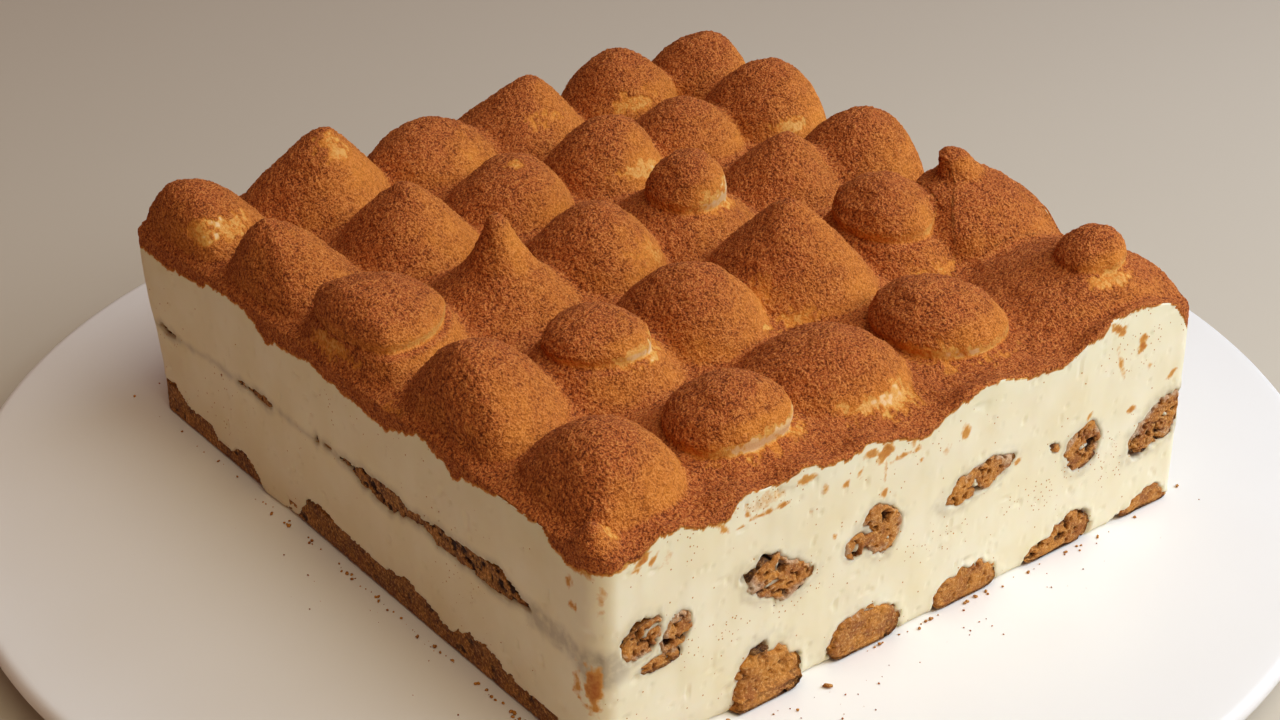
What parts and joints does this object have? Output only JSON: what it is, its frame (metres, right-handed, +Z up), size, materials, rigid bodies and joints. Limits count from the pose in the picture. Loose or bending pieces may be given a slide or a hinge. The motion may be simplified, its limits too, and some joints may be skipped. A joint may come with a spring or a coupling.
{
  "type": "tiramisu",
  "caption": "Square layered dessert with clean cut sides: sponge fingers in pale cream under cocoa dusted piped cream mounds, on a flat round plate.",
  "frame": {"origin": "centre of the plate's underside", "axes": "+Z up; -Y is the cut face that shows the ends of the sponge fingers, which run along Y"},
  "size_m": [0.328, 0.328, 0.0846],
  "materials": {
    "porcelain": "glazed white porcelain, gloss",
    "cream": "ivory mascarpone cream, soft satin, cut with a knife",
    "sponge": "coffee soaked sponge, open brown crumb",
    "cocoa": "dry cocoa powder, matt and grainy"
  },
  "bodies": {
    "root": {"plate": "porcelain", "cream_lower": "cream", "cream_upper": "cream", "finger_lower_1": "sponge", "finger_lower_2": "sponge", "finger_lower_3": "sponge", "finger_lower_4": "sponge", "finger_lower_5": "sponge", "finger_lower_6": "sponge", "finger_middle_1": "sponge", "finger_middle_2": "sponge", "finger_middle_3": "sponge", "finger_middle_4": "sponge", "finger_middle_5": "sponge", "finger_middle_6": "sponge", "mound_1_1": "cocoa", "mound_1_2": "cocoa", "mound_1_3": "cocoa", "mound_1_4": "cocoa", "mound_1_5": "cocoa", "mound_2_1": "cocoa", "mound_2_2": "cocoa", "mound_2_3": "cocoa", "mound_2_4": "cocoa", "mound_2_5": "cocoa", "mound_2_6": "cocoa", "mound_3_1": "cocoa", "mound_3_2": "cocoa", "mound_3_3": "cocoa", "mound_3_4": "cocoa", "mound_3_5": "cocoa", "mound_3_6": "cocoa", "mound_4_1": "cocoa", "mound_4_2": "cocoa", "mound_4_3": "cocoa", "mound_4_4": "cocoa", "mound_4_5": "cocoa", "mound_4_6": "cocoa", "mound_5_1": "cocoa", "mound_5_2": "cocoa", "mound_5_3": "cocoa", "mound_5_4": "cocoa", "mound_5_5": "cocoa", "mound_5_6": "cocoa"}
  },
  "joints": []
}
